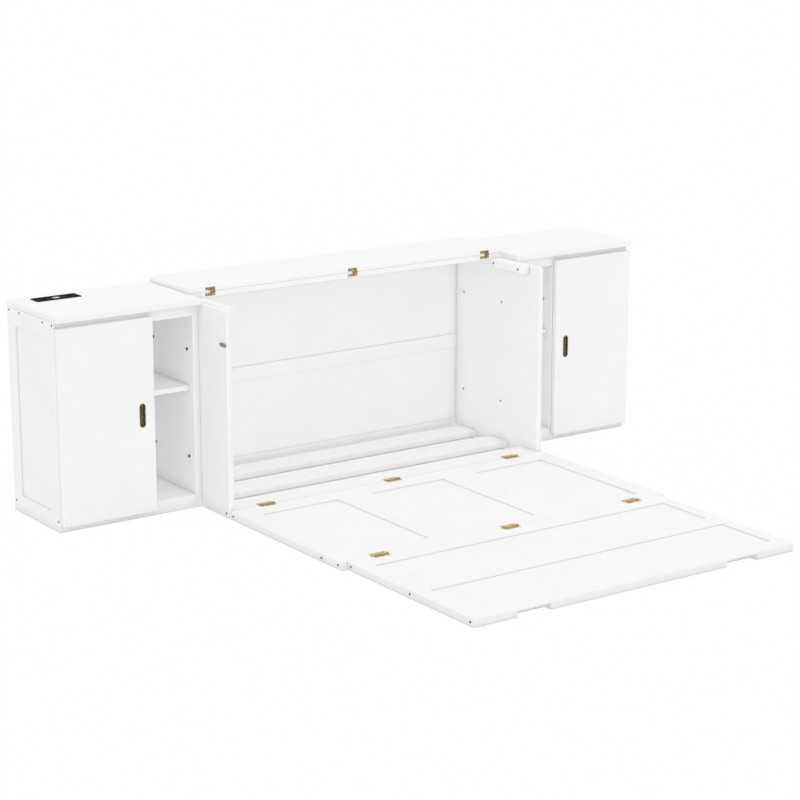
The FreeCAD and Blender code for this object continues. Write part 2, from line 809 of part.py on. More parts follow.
def guide():
    """The right door's guide: a fin in the door's bottom groove, on a bracket tied to the rail behind."""
    middle = door_inner + guide_inset
    xs = (middle - guide_width / 2, middle + guide_width / 2)
    top = door_bottom - guide_drop
    low = top - guide_plate
    fin_ys = (door_middle - guide_fin / 2, door_middle + guide_fin / 2)
    plate = box(xs, (fin_ys[0], cabinet_front), (low, top))
    fin = box(xs, fin_ys, (low, door_bottom + guide_reach))
    tab = box(xs, (cabinet_front - guide_plate, cabinet_front), (low, low + guide_tab_height))
    return plate.fuse([fin, tab]).removeSplitter()


def stadium(length, width, zs):
    """A block with round ends, its length along Y about the origin."""
    straight = (length - width) / 2
    radius = width / 2
    block = box((-radius, radius), (-straight, straight), zs)
    for side in (-1, 1):
        block = block.fuse(rod(radius, V(0, side * straight, min(zs)), V(0, side * straight, max(zs))))
    return block.removeSplitter()


def on_door(shape):
    """From a shape's own floor onto the right door's face, looking out of the cabinet."""
    place = V(door_inner + pull_inset, door_front, (door_bottom + door_top) / 2 + pull_rise)
    return moved(shape, place, X_AXIS, 90)


def pull():
    """The right door's flush pull: an oval rim round a shallow cup."""
    mouth = (pull_length - 2 * pull_lip, pull_width - 2 * pull_lip)
    cup = stadium(mouth[0], mouth[1], (-pull_depth, 0))
    rim = stadium(pull_length, pull_width, (0, pull_rim_height))
    rim = rim.makeChamfer(pull_rim_height / 2, [edge for edge in rim.Edges if edge.BoundBox.ZMin > 0])
    thin = (mouth[0] - 2 * pull_wall, mouth[1] - 2 * pull_wall)
    hollow = stadium(thin[0], thin[1], (pull_wall - pull_depth, pull_rim_height + overrun))
    return on_door(rim.fuse(cup).cut(hollow).removeSplitter())


def door():
    """The right sliding door, grooved below for its guide, with seats for its pull and hangers."""
    slab = eased(box((door_inner, door_outer), (door_front, door_back), (door_bottom, door_top)))
    half = guide_fin / 2 + guide_side_gap
    groove = box((door_inner - overrun, door_outer + overrun), (door_middle - half, door_middle + half),
                 (door_bottom - overrun, door_bottom + groove_depth))
    seat = stadium(pull_length - 2 * pull_lip + 2 * fit, pull_width - 2 * pull_lip + 2 * fit,
                   (-pull_depth - fit, overrun))
    up, down = Z_AXIS * overrun, Z_AXIS * hanger_hold
    holes = [rod(hanger_stem + fit, place + up, place - down) for place in hanger_places()]
    return slab.cut([groove, on_door(seat)] + holes)


def strip_frame():
    """Centre of the power strip on the left cabinet's top."""
    return V(strip_place_x - cabinet_outer, back_y - strip_back_inset, height)


def rounded_plate(length, width, zs):
    plate = box((-length / 2, length / 2), (-width / 2, width / 2), zs)
    upright = [edge for edge in plate.Edges if edge.BoundBox.XLength < fit and edge.BoundBox.YLength < fit]
    return plate.makeFillet(strip_corner, upright)


def strip_cavity():
    """The cut-out that the strip drops into."""
    size = (strip_length - 2 * strip_lip, strip_width - 2 * strip_lip)
    return rounded_plate(size[0] + 2 * fit, size[1] + 2 * fit, (-strip_depth - overrun, overrun))


def strip_housing():
    """The box under the top, open above, with its outer rim lying on the top."""
    size = (strip_length - 2 * strip_lip, strip_width - 2 * strip_lip)
    shell = rounded_plate(strip_length, strip_width, (0, strip_rim)).fuse(
        rounded_plate(size[0], size[1], (-strip_depth, 0)))
    half_x, half_y = size[0] / 2 - strip_wall, size[1] / 2 - strip_wall
    hollow = box((-half_x, half_x), (-half_y, half_y), (strip_wall - strip_depth, strip_rim + overrun))
    return moved(shell.cut(hollow).removeSplitter(), strip_frame())


def strip_insert():
    """The plate inside the rim: two round sockets, with the charging ports let in between them."""
    size = (strip_length - 2 * strip_lip - 2 * strip_wall, strip_width - 2 * strip_lip - 2 * strip_wall)
    top = strip_rim - socket_sink
    plate = box((-size[0] / 2, size[0] / 2), (-size[1] / 2, size[1] / 2), (top - insert_thickness, top))
    for x in (-socket_place, socket_place):
        plate = plate.cut(socket(x, top))
    return moved(plate.cut(port_block(fit)), strip_frame())


def socket(x, top):
    """A round well with two blade slots and an earth hole in its floor."""
    floor = top - socket_depth
    well = rod(socket_radius, V(x, 0, floor), V(x, 0, top + overrun))
    for middle in (x - blade_place, x + blade_place):
        slot_xs = (middle - blade_slot / 2, middle + blade_slot / 2)
        well = well.fuse(box(slot_xs, (0, blade_height), (floor - blade_depth, top)))
    earth = V(x, -blade_place, floor - blade_depth)
    return well.fuse(rod(earth_radius, earth, V(x, -blade_place, top)))


def port_block(grow):
    """The block that holds the charging ports, about the strip's centre."""
    top = strip_rim - socket_sink + port_block_rise
    half_x, half_y = port_block_length / 2 + grow, port_block_width / 2 + grow
    return box((-half_x, half_x), (-half_y, half_y), (top - port_block_height - grow, top))


def strip_ports():
    """The pale block with two charging ports side by side."""
    block = port_block(0)
    top = block.BoundBox.ZMax
    for x in (-port_place, port_place):
        mouth = (x - port_length / 2, x + port_length / 2)
        block = block.cut(box(mouth, (-port_width / 2, port_width / 2), (top - port_depth, top + overrun)))
    return moved(block, strip_frame())


def board_screws():
    """Screws that show on the chest and cabinets: rail, cleats and cabinet sides, on the right."""
    screw = countersunk(board_screw_head, board_screw_shank, board_screw_length)
    screws = [moved(screw, V(half_chest, hinge_y + rail_screw_inset, platform / 2), Y_AXIS, 90)]
    screws += [moved(screw, V(inner_face - cleat_width, y, z), Y_AXIS, -90) for y, z in cleat_points()]
    screws += [moved(screw, V(cabinet_outer, y, z), Y_AXIS, 90) for y, z in side_screw_points()]
    return screws


def pair(shapes):
    """Right-hand pieces together with their left-hand mirror images."""
    if not isinstance(shapes, list):
        shapes = [shapes]
    return shapes + [mirrored(shape) for shape in shapes]


# Chest
save("chest_side_right", chest_side())
save("chest_side_left", mirrored(chest_side()))
save("chest_top", chest_top())
save("flap_cleats", pair(cleat()))
save("chest_front_rail", front_rail())
save("chest_slats", slats())
save("slat_bearers", pair(bearer()))
save("back_frame", back_rails())
save("back_panels", back_panels())
save("joining_bolts", pair(joining_bolts()))
save("joining_nuts", pair(sleeve_nuts()))
save("board_screws", pair(board_screws()))
save("latch_pivots", pair(latch_pivot()))

# Hinges: leaves, pins and screws, each with the board that carries it
save("base_hinge_rail_leaves", base_hinges(platform_hinge.leaf_plate(0)))
save("base_hinge_pins", base_hinges(platform_hinge.pin()))
save("base_hinge_panel_leaves", base_hinges(platform_hinge.leaf_plate(1)))
save("fold_hinge_inner_leaves", fold_hinges(platform_hinge.leaf_plate(0)))
save("fold_hinge_pins", fold_hinges(platform_hinge.pin()))
save("fold_hinge_outer_leaves", fold_hinges(platform_hinge.leaf_plate(1)))
save("flap_hinge_top_leaves", flap_hinges(flap_hinge.leaf_plate(1)))
save("flap_hinge_flap_leaves", flap_hinges(flap_hinge.leaf_plate(0)))
save("flap_hinge_pins", flap_hinges(flap_hinge.pin()))
save("chest_hinge_screws", base_hinges(platform_hinge.screws(1)) + flap_hinges(flap_hinge.screws(-1)))
inner_leaf_screws = base_hinges(platform_hinge.screws(-1)) + fold_hinges(platform_hinge.screws(1))
save("inner_panel_hinge_screws", inner_leaf_screws)
save("outer_panel_hinge_screws", fold_hinges(platform_hinge.screws(-1)))
save("flap_hinge_screws", flap_hinges(flap_hinge.screws(1)))

# Flap and panels
save("flap_board", flap_board())
inner_stiles, inner_rails, inner_fields, inner_field = inner_panel()
save("inner_panel_stiles", inner_stiles)
save("inner_panel_rails", inner_rails)
save("inner_panel_fields", inner_fields)
save("inner_panel_screws", edge_screws(half_chest, hinge_y, inner_screw_distances()))
panel_screw = countersunk(board_screw_head, board_screw_shank, board_screw_length)
save("stile_fixings", [moved(panel_screw, place) for place in stile_bolts(inner_field)])
save("catch_studs", pair(catch_stud()))
outer_stiles, outer_rails, outer_fields = outer_panel()
save("outer_panel_stiles", outer_stiles)
save("outer_panel_rails", outer_rails)
save("outer_panel_fields", outer_fields)
save("outer_panel_screws", edge_screws(outer_half, fold_y, outer_screw_distances()))
save("right_hook", hook())
save("left_hook", mirrored(hook()))

# Cabinets
save("right_cabinet_top", cabinet_top())
save("left_cabinet_top", mirrored(cabinet_top()).cut(moved(strip_cavity(), strip_frame())))
save("cabinet_side_frames", pair(side_frame()))
save("cabinet_side_fields", pair(side_field()))
save("cabinet_inner_walls", pair(inner_wall()))
save("cabinet_partitions", pair(partition()))
save("cabinet_shelves", pair(shelf()))
save("cabinet_bottoms", pair(cabinet_bottom()))
save("cabinet_backs", pair(cabinet_back_board()))
save("cabinet_front_rails", pair(front_rails()))
save("door_tracks", pair(track()))
save("door_guides", pair(guide()))
save("power_strip_housing", strip_housing())
save("power_strip_insert", strip_insert())
save("power_strip_ports", strip_ports())

# Doors
hangers = [moved(hanger(), place) for place in hanger_places()]
save("right_door", door())
save("right_pull", pull())
save("right_hangers", hangers)
save("left_door", mirrored(door()))
save("left_pull", mirrored(pull()))
save("left_hangers", [mirrored(shape) for shape in hangers])
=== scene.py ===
# %% [markdown]
# # A chest wall bed, dressed for its picture
# The bed stands open: two framed panels lie on the floor in front of a low chest, and a cabinet
# stands on each side of it. The boards, hinges and doors come in as a fixed frame, in metres.
# This lesson gives every board its paint, every metal part its finish, and models the small
# fittings that are smoother on the real bed than in the frame.

# %% Load the frame
import json
import math

import bmesh
import bpy
from mathutils import Matrix, Vector


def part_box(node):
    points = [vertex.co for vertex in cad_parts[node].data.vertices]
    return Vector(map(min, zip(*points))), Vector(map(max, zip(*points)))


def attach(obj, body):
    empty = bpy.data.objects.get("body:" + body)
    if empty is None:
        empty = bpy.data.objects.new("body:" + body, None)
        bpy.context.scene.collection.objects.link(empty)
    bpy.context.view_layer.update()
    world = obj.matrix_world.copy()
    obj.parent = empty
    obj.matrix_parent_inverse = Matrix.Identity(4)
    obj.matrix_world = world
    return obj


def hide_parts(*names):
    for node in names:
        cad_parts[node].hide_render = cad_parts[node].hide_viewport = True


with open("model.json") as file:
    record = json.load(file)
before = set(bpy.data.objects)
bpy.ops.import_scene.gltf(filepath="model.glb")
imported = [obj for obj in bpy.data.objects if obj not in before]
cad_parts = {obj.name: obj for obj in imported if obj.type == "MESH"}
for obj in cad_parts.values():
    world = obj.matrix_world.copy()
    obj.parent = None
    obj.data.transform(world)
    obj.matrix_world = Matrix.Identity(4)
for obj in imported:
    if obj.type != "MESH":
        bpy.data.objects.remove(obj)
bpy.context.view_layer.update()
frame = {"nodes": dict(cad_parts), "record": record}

bpy.ops.object.select_all(action="DESELECT")

# %% [markdown]
# ## Shader sums written as plain expressions
# A finish is a small sum: so much grain, plus a little mottling, less what the edges have lost.
# Wiring Math nodes by hand hides that sum. This class wraps one socket, so that `1 - wear` or
# `grain * 0.3` adds the node itself, and one method adds every other kind of node.


# %% A wire that can be added and multiplied
class Wire:
    """One socket of a material's nodes."""

    def __init__(self, tree, socket=None):
        self.tree = tree
        self.socket = socket

    def node(self, kind, settings=None, sockets=None, output=0):
        """Add a node: its settings first, then the values or links of its sockets."""
        node = self.tree.nodes.new("ShaderNode" + kind)
        for name, value in (settings or {}).items():
            setattr(node, name, value)
        for name, value in (sockets or {}).items():
            if isinstance(value, Wire):
                self.tree.links.new(value.socket, node.inputs[name])
            else:
                node.inputs[name].default_value = value
        return Wire(self.tree, node.outputs[output])

    def math(self, operation, *values):
        return self.node("Math", {"operation": operation}, dict(enumerate(values)))

    def __add__(self, other):
        return self.math("ADD", self, other)

    def __sub__(self, other):
        return self.math("SUBTRACT", self, other)

    def __rsub__(self, other):
        return self.math("SUBTRACT", other, self)

    def __mul__(self, other):
        return self.math("MULTIPLY", self, other)

    __radd__ = __add__
    __rmul__ = __mul__

    def clamp(self, low, high):
        """0 below low, 1 above high, and a smooth slope between."""
        return self.node("MapRange", {"interpolation_type": "SMOOTHSTEP"},
                         {"Value": self, "From Min": low, "From Max": high})

    def blend(self, first, second):
        """The first colour where this wire is 0, the second where it is 1."""
        return self.node("Mix", {"data_type": "RGBA"}, {0: self, 6: first, 7: second}, 2)


def colour(red, green, blue):
    return (red, green, blue, 1)


print("wires ready")

# %% [markdown]
# ## Starting a finish
# Each finish starts from an empty material with one Principled shader. Patterns are read in Object
# coordinates: every piece of the bed sits at the origin with its place in its mesh, so a pattern
# has its real size in metres and stays on its board when the bed is folded.


# %% Empty material, place and patterns
def new_finish(name):
    material = bpy.data.materials.new(name)
    material.use_nodes = True
    shader = material.node_tree.nodes["Principled BSDF"]
    return material, shader, Wire(material.node_tree)


def connect(shader, **wires):
    for name, wire in wires.items():
        shader.id_data.links.new(wire.socket, shader.inputs[name.replace("_", " ")])


even = (1, 1, 1)
round_gain = 3.4


def stretched(base, scale):
    """Object coordinates, squeezed so that a pattern runs long in one direction."""
    place = base.node("TexCoord", output=3)
    return base.node("Mapping", sockets={"Vector": place, "Scale": scale})


def noise(base, vector, scale, detail, roughness=0.55):
    return base.node("TexNoise", sockets={
        "Vector": vector, "Scale": scale, "Detail": detail, "Roughness": roughness})


def turned_edges(base):
    """How far the surface turns from the three main directions: 0 on faces, up to 1 on rounds."""
    facing = base.node("TexCoord", output=1)
    split = base.node("SeparateXYZ", sockets={"Vector": facing})
    parts = [Wire(base.tree, socket) for socket in split.socket.node.outputs]
    largest = parts[0].math("ABSOLUTE", parts[0])
    for part in parts[1:]:
        largest = largest.math("MAXIMUM", largest, part.math("ABSOLUTE", part))
    return (1 - largest) * round_gain


def corners(base, reach):
    """How much a point lies in an inside corner or a joint: 0 in the open, 1 deep in a gap."""
    return 1 - base.node("AmbientOcclusion", {"samples": 8}, {"Distance": reach}, 1)


def relief(base, height, distance, strength, normal=None):
    sockets = {"Height": height, "Distance": distance, "Strength": strength}
    if normal is not None:
        sockets["Normal"] = normal
    return base.node("Bump", sockets=sockets)


print("finish helpers ready")

# %% [markdown]
# ## White paint on boards
# The bed is board, primed and sprayed a satin white. Close up the coat has a fine orange peel, the
# grain shows through as long faint ridges, and handling takes a little paint off the rounded
# edges. A flat white would lose all of that. The grain has to run along each board, so the paint
# is made three times: for boards that lie left to right, front to back, and upright. Shade is also
# painted into the white: a grey is mixed into the colour in the inside corners of a frame, in
# joints and gaps, and along edges near the floor. A brushed mask would have to be drawn for each
# board, so how closed in a point is decides where the painted shade goes: a short reach finds the
# corners, a longer one the low edges.

# %% Three paints, one for each direction of the grain
paint_white = colour(0.945, 0.946, 0.943)
paint_shade = colour(0.925, 0.927, 0.925)
paint_rubbed = colour(0.86, 0.855, 0.84)
# painted shade: the grey mixed into the white in corners, joints and gaps, and along low edges
painted_shade_grey = colour(0.50, 0.50, 0.50)
grain_squeeze = {"x": (1.2, 42, 42), "y": (42, 1.2, 42), "z": (42, 42, 1.2)}
# how far and how strongly the painted shade reaches: in corners and joints, and along edges near
# the floor
corner_reach, corner_shade_strength = 0.010, 0.26
low_reach, low_edge_shade_strength = 0.070, 0.30
ridge_height, peel_height = 0.00010, 0.00003
paint_roughness, paint_gloss = 0.46, 0.32


def white_paint(direction):
    material, shader, base = new_finish("white_paint_" + direction)
    place = stretched(base, even)
    grain = noise(base, stretched(base, grain_squeeze[direction]), 9, 6, 0.6)
    peel = noise(base, place, 620, 2)
    cloud = noise(base, place, 5.5, 3)
    scuff = noise(base, place, 38, 5, 0.7)
    tint = (cloud * 0.7 + grain * 0.3).clamp(0.36, 0.66)
    wear = turned_edges(base).clamp(0.25, 1.0) * scuff.clamp(0.50, 0.72) * 0.5
    closed_in = corners(base, corner_reach)
    low_down = corners(base, low_reach)
    # painted shade: grey is mixed into the colour where a point is closed in by a corner or joint,
    # and along edges near the floor
    corner = closed_in.clamp(0.12, 0.50) * (1 - closed_in.clamp(0.70, 1.0)) * corner_shade_strength
    edge = low_down.clamp(0.15, 0.60) * (1 - low_down.clamp(0.54, 0.80)) * low_edge_shade_strength
    painted_shade_amount = corner + edge
    coat = wear.blend(tint.blend(paint_shade, paint_white), paint_rubbed)
    ridges = relief(base, grain, ridge_height, 0.4)
    connect(shader, Base_Color=painted_shade_amount.blend(coat, painted_shade_grey),
            Roughness=paint_roughness + grain * 0.10 + scuff * 0.10,
            Normal=relief(base, peel, peel_height, 0.3, ridges))
    shader.inputs["Specular IOR Level"].default_value = paint_gloss
    return material


paints = {direction: white_paint(direction) for direction in "xyz"}
print("paints:", [paint.name for paint in paints.values()])

# %% [markdown]
# ## Metals
# The hinges are antiqued brass: a warm yellow where hands polish it, brown where the patina stays,
# with more of the brown on the flap's hinges. The pulls are a darker bronze, the screws have a
# black oxide coat, the latches are zinc plated, and the screws in the mid stiles and the door
# hangers are bright. One function makes all six, because they differ in colour and polish and not
# in kind: drawn lines along the piece, blotches of patina, and rubbed edges.

# %% One metal with six looks
patina = (0.40, 0.64)
metal_relief, metal_round = 0.00012, 0.0004
lines_across, lines_up, lines_back = (60, 2600, 2600), (2400, 2400, 60), (900, 60, 2400)
fine_grain = (900, 900, 900)


def metal(name, bright, dark, rough, lines):
    material, shader, base = new_finish(name)
    place = stretched(base, even)
    drawn = noise(base, stretched(base, lines), 1, 4, 0.65)
    blotch = noise(base, place, 110, 5, 0.62)
    edge = turned_edges(base).clamp(0.15, 0.95)
    polish = (blotch * 0.65 + drawn * 0.35).clamp(*patina) * 0.85 + edge * 0.25
    connect(shader, Base_Color=polish.clamp(0, 1).blend(dark, bright),
            Roughness=(rough + 0.14) - polish * 0.14 + drawn * 0.10,
            Normal=relief(base, drawn * 0.6 + blotch * 0.4, metal_relief, 0.35,
                          base.node("Bevel", {"samples": 4}, {"Radius": metal_round})))
    shader.inputs["Metallic"].default_value = 1
    return material


finishes = {
    "antique_brass": metal("antique_brass", colour(0.82, 0.68, 0.42), colour(0.46, 0.35, 0.19),
                           0.30, lines_across),
    "worn_brass": metal("worn_brass", colour(0.72, 0.57, 0.33), colour(0.24, 0.17, 0.085),
                        0.30, lines_across),
    "bronze": metal("dark_bronze", colour(0.34, 0.285, 0.178), colour(0.135, 0.106, 0.063),
                    0.34, lines_up),
    "dark_screw": metal("black_oxide", colour(0.085, 0.078, 0.070), colour(0.030, 0.027, 0.024),
                        0.38, fine_grain),
    "steel": metal("zinc_plate", colour(0.50, 0.50, 0.49), colour(0.33, 0.33, 0.335),
                   0.30, lines_back),
    "bright": metal("bright_zinc", colour(0.88, 0.88, 0.87), colour(0.76, 0.76, 0.755),
                    0.26, fine_grain),
}
print("metals:", sorted(finishes))

# %% [markdown]
# ## Plastics
# The power strip is moulded in black with a charcoal face and a pale port block, and the door
# guides are natural nylon. Moulded plastic carries the fine spark texture of its mould: tiny
# grains in the relief, a slight change of gloss, and a greyer tone where corners have been rubbed.
# The black parts are matt, or the pale room would turn them grey. The powder coat on the door
# tracks has the same grain, so it is made here too.

# %% One grained coat with five looks
spark_height, moulded_edge = 0.00008, 0.0005
satin, matt_black, matt_charcoal = 0.5, 0.02, 0.025


def plastic(name, body, rubbed, rough, grain, gloss=satin):
    material, shader, base = new_finish(name)
    place = stretched(base, even)
    spark = noise(base, place, grain, 3, 0.7)
    cloud = noise(base, place, 26, 3)
    rub = turned_edges(base).clamp(0.2, 1.0) * 0.5
    tone = rub + spark.clamp(0.35, 0.75) * 0.22 + cloud * 0.14
    connect(shader, Base_Color=tone.clamp(0, 1).blend(body, rubbed),
            Roughness=rough + spark * 0.16,
            Normal=relief(base, spark, spark_height, 0.45,
                          base.node("Bevel", {"samples": 4}, {"Radius": moulded_edge})))
    shader.inputs["Specular IOR Level"].default_value = gloss
    return material


coats = {
    "black_plastic": plastic("black_moulding", colour(0.006, 0.006, 0.0065),
                             colour(0.016, 0.016, 0.017), 0.50, 2600, matt_black),
    "grey_plastic": plastic("charcoal_moulding", colour(0.009, 0.009, 0.0095),
                            colour(0.024, 0.024, 0.025), 0.52, 2200, matt_charcoal),
    "pale_plastic": plastic("grey_port_block", colour(0.58, 0.58, 0.575),
                            colour(0.68, 0.68, 0.67), 0.40, 2000),
    "nylon": plastic("natural_nylon", colour(0.74, 0.735, 0.70),
                     colour(0.82, 0.82, 0.80), 0.36, 1500),
    "white_metal": plastic("white_powder_coat", colour(0.900, 0.900, 0.897),
                           colour(0.925, 0.925, 0.922), 0.38, 1100),
}
finishes.update(coats)
print("moulded and powder coated:", sorted(coats))

# %% [markdown]
# ## Which board runs which way
# Tops, shelves and rails run left to right, stiles and cleats front to back, sides and doors up.
# The record names the finish of every node, so only the boards need a list of directions here, and
# the bright screws and hangers and the browner hinges of the flap a line of their own.

# %% Give every node its finish
runs_across = """chest_top chest_front_rail chest_slats back_panels flap_board inner_panel_rails
    outer_panel_rails outer_panel_fields left_cabinet_top right_cabinet_top cabinet_shelves
    cabinet_bottoms cabinet_front_rails""".split()
runs_back = """slat_bearers flap_cleats inner_panel_stiles inner_panel_fields
    outer_panel_stiles""".split()
slot_of = {part["node"]: part["material_slot"] for part in frame["record"]["subparts"]}


def finish_for(node):
    if node in ("stile_fixings", "left_hangers", "right_hangers"):
        return finishes["bright"]
    if node.startswith("flap_hinge") and slot_of[node] == "antique_brass":
        return finishes["worn_brass"]
    if slot_of[node] != "white_board":
        return finishes[slot_of[node]]
    return paints["x" if node in runs_across else "y" if node in runs_back else "z"]


def dress(piece, material):
    piece.data.materials.clear()
    piece.data.materials.append(material)


for node, piece in frame["nodes"].items():
    dress(piece, finish_for(node))
print("dressed:", len(frame["nodes"]))

# %% [markdown]
# ## Modelling by hand, in code
# Every new fitting is modelled as it would be at the screen: a primitive, then edit mode, then
# modifiers that are applied at the end. Operators act on all that is selected, so these helpers
# clear the selection first and pick faces, edges or points by where they are.

# %% Helpers for edit mode
weld = 0.000005


def fresh():
    if bpy.context.object and bpy.context.object.mode == "EDIT":
        bpy.ops.object.mode_set(mode="OBJECT")
    bpy.ops.object.select_all(action="DESELECT")


def open_mesh(name):
    """Name the new primitive, put its place into its mesh and open it in edit mode."""
    piece = bpy.context.object
    piece.name = piece.data.name = name
    bpy.ops.object.transform_apply(location=True, rotation=True, scale=True)
    bpy.ops.object.mode_set(mode="EDIT")
    return piece


def pick(kind, test):
    """Select the points, edges or faces whose middle passes a test."""
    bpy.ops.mesh.select_mode(type=kind)
    bpy.ops.mesh.select_all(action="DESELECT")
    mesh = bmesh.from_edit_mesh(bpy.context.edit_object.data)
    for item in {"VERT": mesh.verts, "EDGE": mesh.edges, "FACE": mesh.faces}[kind]:
        if kind == "VERT":
            middle = item.co
        elif kind == "EDGE":
            middle = (item.verts[0].co + item.verts[1].co) / 2
        else:
            middle = item.calc_center_median()
        item.select_set(test(middle))
    bmesh.update_edit_mesh(bpy.context.edit_object.data)


def push(offset):
    bpy.ops.transform.translate(value=offset)


def draw_out(offset):
    bpy.ops.mesh.extrude_region_move(TRANSFORM_OT_translate={"value": offset})


def step_in(thickness, depth):
    bpy.ops.mesh.inset(thickness=thickness, depth=depth)


def finish_piece(piece, modifiers, angle):
    """Turn the faces outwards, leave edit mode, apply the modifiers and smooth the rounds."""
    bpy.ops.mesh.select_all(action="SELECT")
    bpy.ops.mesh.remove_doubles(threshold=weld)
    bpy.ops.mesh.normals_make_consistent(inside=False)
    bpy.ops.object.mode_set(mode="OBJECT")
    for kind, settings in modifiers:
        modifier = piece.modifiers.new(kind.title(), kind)
        for name, value in settings.items():
            setattr(modifier, name, value)
        bpy.ops.object.modifier_apply(modifier=modifier.name)
    bpy.ops.object.shade_smooth_by_angle(angle=math.radians(angle))
    print(piece.name, "faces:", len(piece.data.polygons))


def copied(piece, name, offset):
    """A copy with its own mesh, moved in that mesh."""
    twin = piece.copy()
    twin.data = piece.data.copy()
    twin.name = twin.data.name = name
    twin.data.transform(Matrix.Translation(offset))
    bpy.context.scene.collection.objects.link(twin)
    return twin


print("modelling helpers ready")

# %% [markdown]
# ## Flush pulls
# Each door has an oval finger pull of cast bronze: a rounded lip on the door's face round a dished
# cup. A turned profile can't make an oval, so the outline is a circle whose halves are drawn
# apart. The lip and the cup are then stepped inwards from that outline, which keeps the lip's
# width even all the way round. Solidify gives the sheet its wall.

# %% Model one pull and copy it to the other door
lip_rise = 0.0006
lip_steps = ((0.0005, 0.0005), (0.0009, 0.0003), (0.0016, 0.0),
             (0.0009, -0.0004), (0.0005, -0.0009))
cup_depth = 0.0066
cup_steps = ((0.0009, -0.0018), (0.0018, -0.0010), (0.0030, -0.0004))
cup_wall, cup_edge = 0.0009, 0.00025
off_middle, on_face, near_middle = 0.0001, 0.00001, 0.001
low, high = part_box("right_pull")
middle = (low + high) / 2
pull_radius = (high.x - low.x) / 2
pull_straight = (high.z - low.z) / 2 - pull_radius
door_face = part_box("right_door")[0].y
fresh()
bpy.ops.mesh.primitive_circle_add(vertices=64, radius=pull_radius, fill_type="NGON",
                                  location=(middle.x, door_face, middle.z),
                                  rotation=(math.pi / 2, 0, 0))
right_pull = open_mesh("right_pull_cup")
pick("VERT", lambda point: point.z > middle.z + off_middle)
push((0, 0, pull_straight))
pick("VERT", lambda point: point.z < middle.z - off_middle)
push((0, 0, -pull_straight))
pick("FACE", lambda point: True)
draw_out((0, -lip_rise, 0))
for thickness, depth in lip_steps:
    step_in(thickness, depth)
draw_out((0, cup_depth, 0))
for thickness, depth in cup_steps:
    step_in(thickness, depth)
pick("FACE", lambda point: abs(point.y - door_face) < on_face
     and abs(point.x - middle.x) < near_middle)
bpy.ops.mesh.delete(type="ONLY_FACE")
finish_piece(right_pull, [
    ("SOLIDIFY", {"thickness": cup_wall, "offset": -1}),
    ("BEVEL", {"width": cup_edge, "segments": 2, "limit_method": "ANGLE"})], 50)
left_middle = sum(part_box("left_pull"), Vector()) / 2
left_pull = copied(right_pull, "left_pull_cup", Vector((left_middle.x - middle.x, 0, 0)))
for side, piece in (("right", right_pull), ("left", left_pull)):
    dress(piece, finishes["bronze"])
    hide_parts(side + "_pull")
    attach(piece, side + "_door")

# %% [markdown]
# ## Rounded edges on hinges, latches and the power strip
# Pressed leaves, turned studs and moulded housings never end in a knife edge: each has a narrow
# round that draws a thin bright line. The frame's pieces are cut sharp and stay as they are, so
# each gets a copy that is welded, cleared of the lines across its flat faces, and bevelled.
# Modelling the six leaves again from a cube would only repeat what the frame already has right.

# %% Weld, clear and bevel a copy of each piece
body_of = {node: body for body, nodes in frame["record"]["behaviour"]["bodies"].items()
           for node in nodes}
hinge_round, latch_round, moulded_round = 0.00025, 0.0004, 0.0006
flat_angle, sharp_angle = math.radians(0.5), math.radians(40)


def rounded_copy(node, width):
    """A copy of a frame piece whose sharp edges are rounded, standing in for that piece."""
    fresh()
    piece = bpy.data.objects.new(node + "_rounded", frame["nodes"][node].data.copy())
    bpy.context.scene.collection.objects.link(piece)
    bpy.context.view_layer.objects.active = piece
    piece.select_set(True)
    bpy.ops.object.mode_set(mode="EDIT")
    bpy.ops.mesh.select_all(action="SELECT")
    bpy.ops.mesh.remove_doubles(threshold=weld)
    bpy.ops.mesh.dissolve_limited(angle_limit=flat_angle)
    finish_piece(piece, [("BEVEL", {"width": width, "segments": 2, "limit_method": "ANGLE",
                                    "angle_limit": sharp_angle})], 35)
    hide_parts(node)
    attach(piece, body_of[node])


for node in """base_hinge_rail_leaves base_hinge_panel_leaves fold_hinge_inner_leaves
        fold_hinge_outer_leaves flap_hinge_top_leaves flap_hinge_flap_leaves""".split():
    rounded_copy(node, hinge_round)
for node in "left_hook right_hook catch_studs latch_pivots".split():
    rounded_copy(node, latch_round)
for node in "power_strip_housing power_strip_insert power_strip_ports".split():
    rounded_copy(node, moulded_round)

# %% [markdown]
# ## Dust strips behind the doors
# Each door hangs a few millimetres clear of its cabinet. At the door's outer end a white strip on
# the side's front edge closes that gap, so no dark line shows there. A plain bar would do from
# afar, but a real strip has a flat back and a soft front, so its front edges are bevelled round.

# %% Model one strip and copy it to the other cabinet
low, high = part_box("right_door")
side_low, side_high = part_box("cabinet_side_frames")
cabinet_face = side_low.y
strip_clear, strip_width, strip_short, strip_inset = 0.0004, 0.014, 0.004, 0.001
strip_round_share, strip_edge = 0.35, 0.0002
strip_depth = cabinet_face - high.y - strip_clear
strip_middle = Vector((side_high.x - strip_inset - strip_width / 2,
                       cabinet_face - strip_depth / 2, (low.z + high.z) / 2))
fresh()
bpy.ops.mesh.primitive_cube_add(size=1, location=strip_middle,
                                scale=(strip_width, strip_depth, high.z - low.z - 2 * strip_short))
right_strip = open_mesh("right_dust_strip")
pick("EDGE", lambda point: point.y < strip_middle.y
     and abs(point.x - strip_middle.x) > strip_width / 3)
bpy.ops.mesh.bevel(offset=strip_depth * strip_round_share, segments=4, affect="EDGES")
finish_piece(right_strip, [
    ("BEVEL", {"width": strip_edge, "segments": 2, "limit_method": "ANGLE"})], 50)
left_strip = copied(right_strip, "left_dust_strip", Vector((-2 * strip_middle.x, 0, 0)))
for piece in (right_strip, left_strip):
    dress(piece, finishes["white_metal"])
    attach(piece, "carcass")

